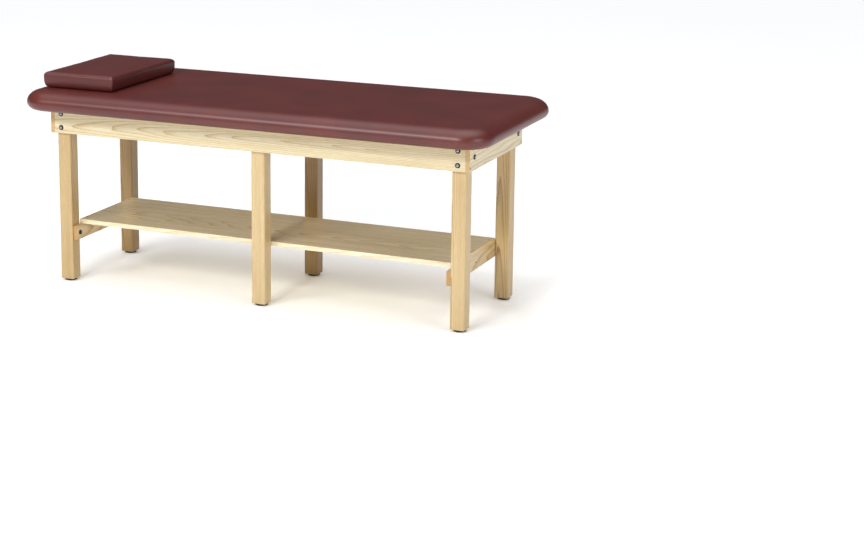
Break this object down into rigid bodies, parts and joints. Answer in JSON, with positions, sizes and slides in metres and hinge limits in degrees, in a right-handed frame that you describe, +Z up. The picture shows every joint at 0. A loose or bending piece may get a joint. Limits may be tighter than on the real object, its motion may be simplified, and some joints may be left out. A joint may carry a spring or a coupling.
{
  "type": "medical exam table",
  "caption": "Timber-framed exam table with an open lower shelf, padded vinyl top with a bullnose edge and a loose head pillow.",
  "frame": {"origin": "on the floor, below the centre of the frame", "axes": "+X towards the foot end (the pillow is at -X), +Y to the rear long side, +Z up"},
  "size_m": [1.94, 0.81, 0.8503],
  "materials": {
    "apron_wood": "clear lacquer, satin",
    "leg_wood": "clear lacquer, satin",
    "shelf_plywood": "clear lacquer, semi-gloss",
    "board_plywood": "raw",
    "foam": "open-cell foam",
    "vinyl": "burgundy upholstery vinyl, satin",
    "black_washer": "black, semi-gloss",
    "glide_rubber": "moulded black",
    "black_screw": "black phosphate",
    "zinc_steel": "bright zinc"
  },
  "bodies": {
    "table": {"front_apron": "apron_wood", "rear_apron": "apron_wood", "head_apron": "apron_wood", "foot_apron": "apron_wood", "leg_front_head": "leg_wood", "leg_front_middle": "leg_wood", "leg_front_foot": "leg_wood", "leg_rear_head": "leg_wood", "leg_rear_middle": "leg_wood", "leg_rear_foot": "leg_wood", "centre_cross_rail": "apron_wood", "cross_rail_dowels": "leg_wood", "shelf_panel": "shelf_plywood", "shelf_rail_head": "leg_wood", "shelf_rail_foot": "leg_wood", "top_board": "board_plywood", "foam_pad": "foam", "top_cover": "vinyl", "apron_bolts": "zinc_steel", "cup_washers": "black_washer", "flat_washers": "zinc_steel", "bolt_nuts": "zinc_steel", "rail_lags": "zinc_steel", "apron_corner_screws": "black_screw", "middle_leg_screws": "black_screw", "shelf_screws": "black_screw", "top_brackets": "zinc_steel", "shelf_brackets": "zinc_steel", "bracket_screws": "zinc_steel", "glides": "glide_rubber", "glide_screws": "zinc_steel"},
    "pillow": {"pillow_foam": "foam", "pillow_top_panel": "vinyl", "pillow_boxing": "vinyl", "pillow_bottom_panel": "vinyl"}
  },
  "joints": [
    {"name": "pillow_lift", "type": "slide", "parent": "table", "child": "pillow", "axis": [0, 0, 1], "range_m": [0, 0.15]}
  ]
}
